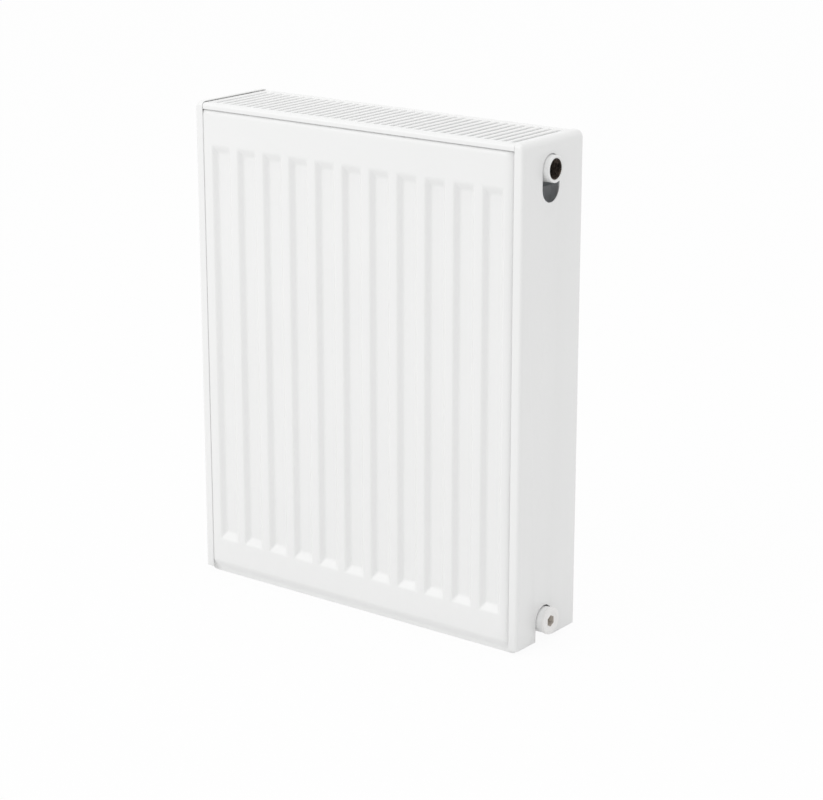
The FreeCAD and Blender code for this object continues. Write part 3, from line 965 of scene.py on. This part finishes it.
# --- top grille ---
@dataclass
class SlottedGrille:
    """Folded top sheet with a row of slots whose edges are rolled over and turned down."""

    finishes: Finishes
    slots: int = 37
    pitch: float = 10 * MM
    slot_half: float = 2.0 * MM
    slot_reach: float = 40 * MM
    roll: float = 1.5 * MM
    lip: float = 2.2 * MM
    fold: float = 3 * MM
    sheet: float = 0.8 * MM
    shift: float = 0.3 * MM  # slack taken up towards the right-hand cover
    facets: int = 8  # of a slot's round end

    def outline(self, radius: Measure, height: float) -> list[Point]:
        """Closed line round a slot.

        Args:
            radius: Distance from the middle of the slot's round end.
            height: Level of the line.

        Returns:
            The line's points.
        """
        straight = self.slot_reach - self.slot_half
        half = [(at(radius, 0.0), straight * share, height) for share in (-1 / 3, 1 / 3)]
        for a in (math.pi * k / self.facets for k in range(self.facets + 1)):
            half.append((at(radius, a) * math.cos(a), straight + at(radius, a) * math.sin(a), height))
        whole = half + [(-x, -y, z) for x, y, z in half]
        return whole[-1:] + whole[:-1]

    def cell(self, low: Vector, high: Vector) -> Piece:
        """One slot with its strip of the sheet, folded down at the front and rear.

        Args:
            low: Grille's lowest corner.
            high: Its highest corner.

        Returns:
            The cell at the middle of the grille.
        """
        shell, top, half = Shell(), high.z, self.pitch / 2
        rolled, folded = quarter_bend(4), quarter_bend(5)
        rings = [self.outline(lambda a: half / max(abs(math.cos(a)), abs(math.sin(a))), top)]
        rings += [self.outline(self.slot_half + self.roll * out, top - self.roll * down)
                  for out, down in rolled]
        rings.append(self.outline(self.slot_half, top - self.lip))
        border = shell.loft(rings)[0]
        for side, rim in ((1, high.y), (-1, low.y)):
            end = side * (self.slot_reach - self.slot_half + half)
            last = sorted((v for v in border if abs(v.co.y - end) < WELD / 10), key=lambda v: v.co.x)
            rows = [(rim - side * self.fold * out, top - self.fold * down) for out, down in folded]
            for y, z in rows + [(rim, low.z)]:
                following = shell.ring((v.co.x, y, z) for v in last)
                shell.join(last, following, closed=False)
                last = following
        return shell.piece("top_grille_slotted")

    def build(self) -> None:
        """Punch and fold the grille and seat it."""
        low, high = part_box("top_grille")
        piece = self.cell(low, high)
        row_tree("slot_row").run_on(piece, Count=self.slots, Pitch=self.pitch, Shift=self.shift,
                                    Finish=self.finishes.enamel)
        self.run_out(piece, (high.x - low.x) / 2, high.z)
        thicken(piece, self.sheet)
        soften(piece, 50)
        dress(piece, self.finishes.enamel, "grille", "enamel", "top_grille")

    def run_out(self, piece: Piece, half_length: float, top: float) -> None:
        """Lengthen the sheet past the last slots.

        Args:
            piece: Row of slots.
            half_length: Half of the grille's length.
            top: Level of its upper face.
        """
        with reworked(piece) as mesh:
            bmesh.ops.recalc_face_normals(mesh, faces=mesh.faces)
            for side in (-1, 1):
                edge = side * self.slots * self.pitch / 2 + self.shift
                rim = [e for e in mesh.edges
                       if e.is_boundary and all(abs(v.co.x - edge) < WELD for v in e.verts)]
                made = bmesh.ops.extrude_edge_only(mesh, edges=rim)["geom"]
                for v in (g for g in made if isinstance(g, bmesh.types.BMVert)):
                    v.co.x = side * half_length + self.shift
            bmesh.ops.recalc_face_normals(mesh, faces=mesh.faces)
            up = (f.normal.z * f.calc_area() for f in mesh.faces if f.calc_center_median().z > top - 0.1 * MM)
            if sum(up) < 0:
                bmesh.ops.reverse_faces(mesh, faces=mesh.faces)


# --- side covers ---
@dataclass
class SideCover:
    """Shallow drawn pan over a panel end, with a slot over the upper boss and a notch over the lower."""

    finishes: Finishes
    side: Side
    sheet: float = 1.0 * MM
    edge: float = 3.5 * MM  # rounding along the front and rear
    crown: float = 7.0 * MM  # rounding along the top
    corner: float = 5.0 * MM  # top corners, seen from the side
    slot_half: float = 14.0 * MM
    slot_foot: float = 439.0 * MM
    slot_top: float = 485.0 * MM
    notch_foot: float = -40.0 * MM  # below the cover, so the notch is open
    notch_top: float = 39.5 * MM
    cut_behind: float = 12 * MM  # how far the cutters reach on each side of the face
    cut_before: float = 4 * MM
    burr: float = 0.22 * MM  # rounding of the cut edges
    steps: int = 7
    straights: int = 6  # segments of a straight run
    facets: int = 40  # of a slot's round end

    def loop(self, low: Vector, high: Vector, turn: float, reach: float) -> list[Point]:
        """Line round the pan from its front foot over the top to its rear foot.

        Args:
            low: Right-hand cover's lowest corner.
            high: Its highest corner.
            turn: Angle along the rounding, 0 at the flanges and a quarter turn at the face.
            reach: How far the line has run along the flanges towards their free edge.

        Returns:
            Points of the line.
        """
        x_side, x_top = (high.x - rounding * (1 - math.sin(turn)) for rounding in (self.edge, self.crown))
        x_side += (low.x - x_side) * reach
        x_top += (low.x - x_top) * reach
        sunk = 1 - math.cos(turn)
        front, rear, top = low.y + self.edge * sunk, high.y - self.edge * sunk, high.z - self.crown * sunk
        radius, count = self.corner, self.straights
        rise, run = top - radius - low.z, rear - front - 2 * radius
        half = [(x_side, front, low.z + rise * k / count) for k in range(count + 1)]
        for k, (down, along) in enumerate(quarter_bend(self.steps)[1:-1], 1):
            x = x_side + (x_top - x_side) * k / self.steps
            half.append((x, front + radius * along, top - radius * down))
        half += [(x_top, front + radius + run * k / count, top) for k in range(count // 2 + 1)]
        return half + [(x, front + rear - y, z) for x, y, z in half[-2::-1]]

    def build(self) -> None:
        """Draw the pan, cut it and seat it."""
        low, high, _ = span("right_side_cover")
        shell = Shell()
        loops = [self.loop(low, high, 0.0, 1 - k / 3) for k in range(3)]
        loops += [self.loop(low, high, QUARTER * k / self.steps, 0.0) for k in range(self.steps + 1)]
        shell.fill(shell.loft(loops, closed=False)[-1])
        node = f"{self.side.value}_side_cover"
        piece = shell.piece(node + "_pan")
        face_towards(piece, (1, 0, 0))
        thicken(piece, self.sheet)
        cut(piece, [self.opening(self.slot_foot, self.slot_top, high.x),
                    self.opening(self.notch_foot, self.notch_top, high.x)])
        modify(piece, "BEVEL", width=self.burr, segments=2, limit_method="ANGLE",
               angle_limit=math.radians(60))
        if self.side is Side.LEFT:
            flip_side(piece)
        soften(piece, 35)
        dress(piece, self.finishes.enamel, f"{self.side.value}_cover", "enamel", node)

    def opening(self, foot: float, top: float, face: float) -> Piece:
        """Tool for a slot with round ends, in line with the connectors.

        Args:
            foot: Lowest point.
            top: Highest point.
            face: X of the cover's face.

        Returns:
            The tool.
        """
        y, radius = span("top_right_connector")[2].y, self.slot_half
        angles = [math.pi * k / self.facets for k in range(self.facets + 1)]
        arc = [(radius * math.cos(a), radius * math.sin(a)) for a in angles]
        ring = [(y + u, top - radius + v) for u, v in arc] + [(y - u, foot + radius - v) for u, v in arc]
        ends = (face - self.cut_behind, face + self.cut_before)
        return solid("cover_cutter", [[(x, u, v) for u, v in ring] for x in ends])


# --- connectors ---
@dataclass
class Connector:
    """Barrel between the panels with a threaded branch out through the cover."""

    finishes: Finishes
    side: Side
    level: Level
    barrel: float = 11.5 * MM
    bore: float = 8.0 * MM
    boss: float = 13.0 * MM
    boss_length: float = 20 * MM
    thread_length: float = 14 * MM
    chamfer: float = 1.6 * MM
    crest: float = 9.3155 * MM  # parallel pipe thread, half-inch size
    root: float = 10.4775 * MM
    lead: float = 1.814 * MM
    play: float = 0.01 * MM  # keeps the branch's skin off the barrel's
    near: float = 0.1 * MM  # a face this close to the bore belongs to it
    flank: Flat = (0.12, 0.88)  # where a turn's flank begins and ends, from its crest
    fade_in: float = 0.6  # leads over which the thread deepens at its inner end
    fade_out: float = 0.35  # and at its outer end
    around: int = 96
    thread_rows: int = 92

    def thread_rule(self, hub: Vector) -> ShapeTree:
        """Tree that raises the helical thread in the boss's bore.

        Args:
            hub: Point on the thread's axis.

        Returns:
            The tree.
        """
        tree = ShapeTree("thread_rule")
        names = ("Lead", "Crest", "Root", "Start", "End")
        lead, crest, root, start, end = (tree.number(name) for name in names)
        x, y, z = tree.place()
        across, up = y - hub.y, z - hub.z
        radius = across.long_side(up).at_least(WELD)
        turn = up.apply("ARCTAN2", across) / (2 * math.pi)
        along = (x / lead + turn).apply("FRACT")
        wave = ((along - 0.5).size() * 2.0).eased(*self.flank)
        fade = ((x - start) / lead).eased(0.0, self.fade_in) * ((end - x) / lead).eased(0.0, self.fade_out)
        in_bore = (radius - crest).size().apply("LESS_THAN", 0.05 * MM)
        scale = (radius + (root - crest) * wave * fade * in_bore) / radius
        return tree.close_moved(x, across * scale + hub.y, up * scale + hub.z)

    def build(self) -> None:
        """Turn, thread and join the connector and seat it."""
        low, high, hub = span(f"{self.level.value}_right_connector")
        hub.x, end = low.x + self.barrel, high.x
        boss_start, thread_end = end - self.boss_length, end - self.chamfer
        thread_start = thread_end - self.thread_length
        profile = [
            (boss_start, self.bore), (boss_start, self.boss - 0.6 * MM), (boss_start + 0.6 * MM, self.boss),
            (end - 0.9 * MM, self.boss), (end - 0.35 * MM, self.boss - 0.15 * MM),
            (end, self.boss - 0.7 * MM), (end, self.crest + self.chamfer),
            (end - 0.9 * MM, self.crest + 0.7 * MM),
        ]
        profile += [(thread_end - self.thread_length * k / self.thread_rows, self.crest)
                    for k in range(self.thread_rows + 1)]
        profile.append((thread_start - 0.4 * MM, self.bore))
        node = f"{self.level.value}_{self.side.value}_connector"
        piece = turned(node + "_threaded", hub, profile, self.around, hollow=True)
        self.thread_rule(hub).run_on(
            piece, Lead=self.lead, Crest=self.crest, Root=self.root, Start=thread_start,
            End=thread_end + 0.2 * MM, Finish=self.finishes.enamel)
        two_tone(piece, self.finishes.enamel, self.finishes.thread,
                 lambda c: (c - hub).yz.length < self.root + self.near and c.x < end - 0.5 * MM)
        tee = self.tee(hub, boss_start + 0.2 * MM, low.y, high.y)
        two_tone(tee, self.finishes.enamel, self.finishes.thread,
                 lambda c: min((c - hub).xz.length, (c - hub).yz.length) < self.bore + self.near)
        with reworked(piece) as mesh:
            mesh.from_mesh(tee.data)
        bpy.data.objects.remove(tee)
        if self.side is Side.LEFT:
            flip_side(piece)
        soften(piece, 40)
        dress(piece, self.finishes.enamel, "radiator", "enamel", node)

    def tee(self, hub: Vector, branch_end: float, front: float, rear: float) -> Piece:
        """Barrel and branch, bored through.

        Args:
            hub: Point where their axes meet.
            branch_end: X at which the boss takes over.
            front: Y of the barrel's front end.
            rear: Y of its rear end.

        Returns:
            The tee.
        """
        x, y, z = hub
        body = rod(self.barrel, (x, front, z), (x, rear, z), "y")
        cut(body, [rod(self.barrel - self.play, (x, y, z), (branch_end, y, z), "x")], "UNION")
        cut(body, [rod(self.bore, (x, front - MM, z), (x, rear + MM, z), "y"),
                   rod(self.bore - self.play, (x, y, z), (branch_end + MM, y, z), "x")])
        return body


# --- plugs and screw ---
@dataclass
class Plug:
    """What the plugs share: a shank in the port and a flange with a groove for the seal."""

    finishes: Finishes
    flange: float = 13.5 * MM
    height: float = 3.2 * MM  # of the head, from the boss
    shank: float = 9.25 * MM
    shank_length: float = 10 * MM
    shank_chamfer: float = 0.8 * MM
    groove: float = 12.1 * MM
    seal_height: float = 1.2 * MM
    around: int = 72

    def seat(self, boss: float) -> list[tuple[Measure, Measure]]:
        """Stations from the shank over the groove to the flange, from X of the boss's face."""
        lip = boss + self.seal_height
        return [(boss - self.shank_length + self.shank_chamfer, self.shank), (lip, self.shank),
                (lip, self.groove), (boss, self.groove), (boss, self.flange)]


@dataclass
class BlankingPlug(Plug):
    """Round plug with a dished face and a hexagonal socket."""

    socket: float = 10 * MM
    socket_depth: float = 7 * MM
    # the darker tone inside this radius is partly painted shade of the socket's recess
    socket_edge: float = 6.5 * MM  # radius that bounds the socket's finish

    def build(self) -> None:
        """Turn the plug and seat it."""
        _, high, middle = span("blanking_plug")
        face = high.x
        boss, foot = face - self.height, face - self.socket_depth
        hexagon = flats(6, self.socket)
        stations = [
            (boss - self.shank_length, self.shank - self.shank_chamfer), *self.seat(boss),
            (face - 0.75 * MM, self.flange), (face - 0.35 * MM, self.flange - 0.12 * MM),
            (face - 0.1 * MM, self.flange - 0.45 * MM), (face, self.flange - 0.9 * MM),
            (face, 9.6 * MM), (face - 0.12 * MM, 9.2 * MM), (face - 0.4 * MM, 8.6 * MM),
            (face - 0.5 * MM, 8.0 * MM), (face - 0.5 * MM, flats(6, self.socket + 1.2 * MM)),
            (face - 0.7 * MM, flats(6, self.socket + 0.5 * MM)),
            (face - 1.1 * MM, hexagon), (foot, hexagon), (foot - 1.2 * MM, 1.2 * MM),
        ]
        piece = turned("blanking_plug_turned", middle, stations, self.around)
        # The shank and the recessed socket faces take the darker zinc tone; in the socket it is partly
        # painted shade of the recess
        two_tone(piece, self.finishes.plug, self.finishes.socket, lambda c: c.x < boss or (
            (c - middle).yz.length < self.socket_edge and c.x < face - 0.6 * MM))
        soften(piece, 32)
        dress(piece, self.finishes.plug, "radiator", "plug_enamel", "blanking_plug")


@dataclass
class VentPlug(Plug):
    """Nickel-plated plug with a chamfered hexagon and a recess for the bleed screw."""

    rim_height: float = 1.2 * MM
    hexagon: float = 22 * MM
    round_off: float = 11.9 * MM  # radius from which the hexagon's corners are turned away
    recess: float = 5.5 * MM
    recess_depth: float = 3 * MM
    bore: float = 3.08 * MM
    seat_height: float = 1.5 * MM
    outlet: float = 1.0 * MM

    def build(self) -> None:
        """Turn the plug and seat it at the upper left port."""
        low, _, middle = span("vent_plug")
        face = -low.x
        boss = face - self.height
        rim = boss + self.seal_height + self.rim_height
        inner = boss - self.shank_length
        sill, foot = face - self.recess_depth, inner + self.seat_height
        flat = flats(6, self.hexagon)
        stations = [
            *self.seat(boss), (rim - 0.4 * MM, self.flange), (rim - 0.1 * MM, self.flange - 0.12 * MM),
            (rim, self.flange - 0.4 * MM), (rim, lambda a: flat(a) + 0.1 * MM), (rim + 0.1 * MM, flat),
            (lambda a: face - 0.15 * MM - 0.7 * max(0.0, flat(a) - self.round_off), flat),
            (face, lambda a: min(flat(a), self.round_off) - 0.15 * MM),
            (face, self.recess + 0.4 * MM), (face - 0.4 * MM, self.recess), (sill, self.recess),
            (sill, self.bore + 0.3 * MM), (sill - 0.3 * MM, self.bore), (foot, self.bore),
            (foot, self.outlet), (inner, self.outlet), (inner, self.shank - self.shank_chamfer),
        ]
        piece = turned("vent_plug_turned", middle, stations, self.around, hollow=True)
        flip_side(piece)
        soften(piece)
        dress(piece, self.finishes.nickel, "radiator", "nickel_plate", "vent_plug")


@dataclass
class BleedScrew:
    """Screw in the vent plug with a square end for the key."""

    finishes: Finishes
    shank: float = 3.0 * MM
    square: float = 4.8 * MM
    square_length: float = 3.0 * MM
    tip: float = 1.8 * MM
    tip_length: float = 1.5 * MM
    around: int = 64

    def key(self, shrink: float) -> Measure:
        """Square with its corners turned off, made smaller all round."""
        square = flats(4, self.square)
        return lambda a: min(square(a), self.shank - 0.05 * MM) - shrink

    def build(self) -> None:
        """Turn the screw and seat it."""
        low, high, middle = span("bleed_screw")
        face, start = -low.x, -high.x
        neck = face - self.square_length
        stations = [
            (start, self.tip), (start + self.tip_length, self.shank), (neck - 0.15 * MM, self.shank),
            (neck, self.shank - 0.1 * MM), (neck, self.key(0.0)), (face - 0.35 * MM, self.key(0.0)),
            (face - 0.1 * MM, self.key(0.12 * MM)), (face, self.key(0.4 * MM)), (face, 0.7 * MM),
            (face - 0.25 * MM, 0.2 * MM),
        ]
        piece = turned("bleed_screw_turned", middle, stations, self.around)
        flip_side(piece)
        soften(piece)
        dress(piece, self.finishes.brass, "bleed_screw", "nickel_plate", "bleed_screw")


# --- CAD nodes that stay ---
def coat_kept_nodes(finishes: Finishes) -> None:
    """Coat the CAD solids whose shape is right.

    Args:
        finishes: The radiator's finishes.
    """
    kept = (
        (finishes.spring, ("grille_clips", "left_cover_clips", "right_cover_clips")),
        (finishes.rubber, ("blanking_plug_seal", "vent_plug_seal")),
        (finishes.enamel, ("upper_left_lug", "upper_right_lug", "lower_left_lug", "lower_right_lug")),
    )
    for coat, names in kept:
        for name in names:
            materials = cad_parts[name].data.materials
            materials.clear()
            materials.append(coat)
            LOG.info("%s keeps its CAD solid", name)


# --- studio ---
@dataclass
class Studio:
    """Pale floor, soft lamps, plain world and the camera."""

    world_strength: float = 0.86
    floor_radius: float = 9.0
    floor_tone: float = 0.86
    floor_drift: float = 0.01  # faint clouds in the tone
    floor_glow: float = 0.95  # share of white that the camera sees
    target: Point = (0.0, 0.0, 0.3)  # of the lamps
    lens: float = 104.62
    eye: Point = (1.4128, -1.8138, 0.8976)
    azimuth: float = math.radians(37.225)
    elevation: float = math.radians(16.630)

    def build(self) -> None:
        """Set everything up."""
        self.world()
        self.floor()
        self.lamp("key_front_left", (-1.6, -2.6, 1.9), size=1.8, power=21.0)
        self.lamp("top_soft", (0.0, 0.0, 2.4), size=1.6, power=4.0)
        self.camera()

    def empty_tree(self, owner: bpy.types.ID) -> Tree:
        """Node tree of a world or a material, without its nodes.

        Args:
            owner: The world or the material.

        Returns:
            The empty tree.
        """
        owner.use_nodes = True
        owner.node_tree.nodes.clear()
        return owner.node_tree

    def seen_share(self, tree: Tree) -> Term:
        """1 for rays from the camera, a mirror or a clear pane, else 0.

        Args:
            tree: Tree that asks.

        Returns:
            The value.
        """
        rays = tree.nodes.new("ShaderNodeLightPath").outputs
        kinds = ("Camera", "Glossy", "Transmission")
        camera, glossy, clear = (Term(rays[f"Is {kind} Ray"]) for kind in kinds)
        return camera.at_least(glossy).at_least(clear)

    def show(self, output: str, share: Term, plain: Node, seen: Node) -> None:
        """Send a mix of two shaders to a tree's output.

        Args:
            output: Output node's type.
            share: How much of the second shader.
            plain: First shader.
            seen: Second shader.
        """
        mix = share.tree.nodes.new("ShaderNodeMixShader")
        for socket, value in zip(mix.inputs, (share, plain.outputs[0], seen.outputs[0])):
            connect(socket, value)
        add_node(share.tree, output, Surface=mix.outputs[0])

    def world(self) -> None:
        """White to the camera and in reflections, plain grey light otherwise."""
        world = bpy.data.worlds.new("studio_world")
        bpy.context.scene.world = world
        tree = self.empty_tree(world)
        light, seen = (add_node(tree, "ShaderNodeBackground", Color=(1, 1, 1, 1), Strength=strength)
                       for strength in (self.world_strength, 1.0))
        self.show("ShaderNodeOutputWorld", self.seen_share(tree), light, seen)

    def floor(self) -> None:
        """Round pale floor that keeps a faint shadow."""
        shell = Shell()
        shell.fill(shell.ring(circle(self.floor_radius, (0, 0, 0), 96, "z")))
        floor = shell.piece("studio_floor")
        face_towards(floor, (0, 0, 1))
        material = bpy.data.materials.new("floor_pale")
        tree = self.empty_tree(material)
        place = add_node(tree, "ShaderNodeTexCoord").outputs["Object"]
        cloud = add_node(tree, "ShaderNodeTexNoise", Vector=place, Scale=1.5)
        ramp = add_node(tree, "ShaderNodeValToRGB", Fac=cloud.outputs["Fac"])
        tones = (self.floor_tone - self.floor_drift, self.floor_tone)
        for element, tone in zip(ramp.color_ramp.elements, tones):
            element.color = (tone, tone, tone, 1)
        matt = add_node(tree, "ShaderNodeBsdfDiffuse", Color=ramp.outputs[0])
        glow = add_node(tree, "ShaderNodeEmission", Strength=1.0)
        self.show("ShaderNodeOutputMaterial", self.seen_share(tree) * self.floor_glow, matt, glow)
        floor.data.materials.append(material)

    def lamp(self, name: str, place: Point, size: float, power: float) -> None:
        """Soft square lamp that looks at the target.

        Args:
            name: Lamp's name.
            place: Where it hangs.
            size: Its width.
            power: Watts.
        """
        data = bpy.data.lights.new(name, "AREA")
        data.size, data.energy = size, power
        lamp = put(name, data)
        lamp.location = place
        lamp.rotation_euler = (Vector(self.target) - Vector(place)).to_track_quat("-Z", "Y").to_euler()

    def camera(self) -> None:
        """Camera at the product view."""
        data = bpy.data.cameras.new("product_view")
        data.lens, data.sensor_width = self.lens, 36.0
        camera = put("product_view", data)
        turn = Matrix.Rotation(self.azimuth, 4, "Z") @ Matrix.Rotation(QUARTER - self.elevation, 4, "X")
        camera.matrix_world = Matrix.Translation(self.eye) @ turn
        bpy.context.scene.camera = camera


# --- everything ---
def main() -> None:
    """Build the radiator's looks in order."""
    logging.basicConfig(level=logging.INFO, format="%(name)s: %(message)s")
    bpy.context.scene.view_settings.view_transform = "Standard"
    finishes = Finishes()
    Studio().build()
    for facing in Facing:
        for sheet in (PressedPanel, BackingSheet, FoldedConvector):
            sheet(finishes, facing).build()
    SlottedGrille(finishes).build()
    for side in Side:
        SideCover(finishes, side).build()
        for level in Level:
            Connector(finishes, side, level).build()
    for part in (BlankingPlug, VentPlug, BleedScrew):
        part(finishes).build()
    coat_kept_nodes(finishes)
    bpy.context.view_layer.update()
    LOG.info("sizes written")


if __name__ == "__main__":
    main()
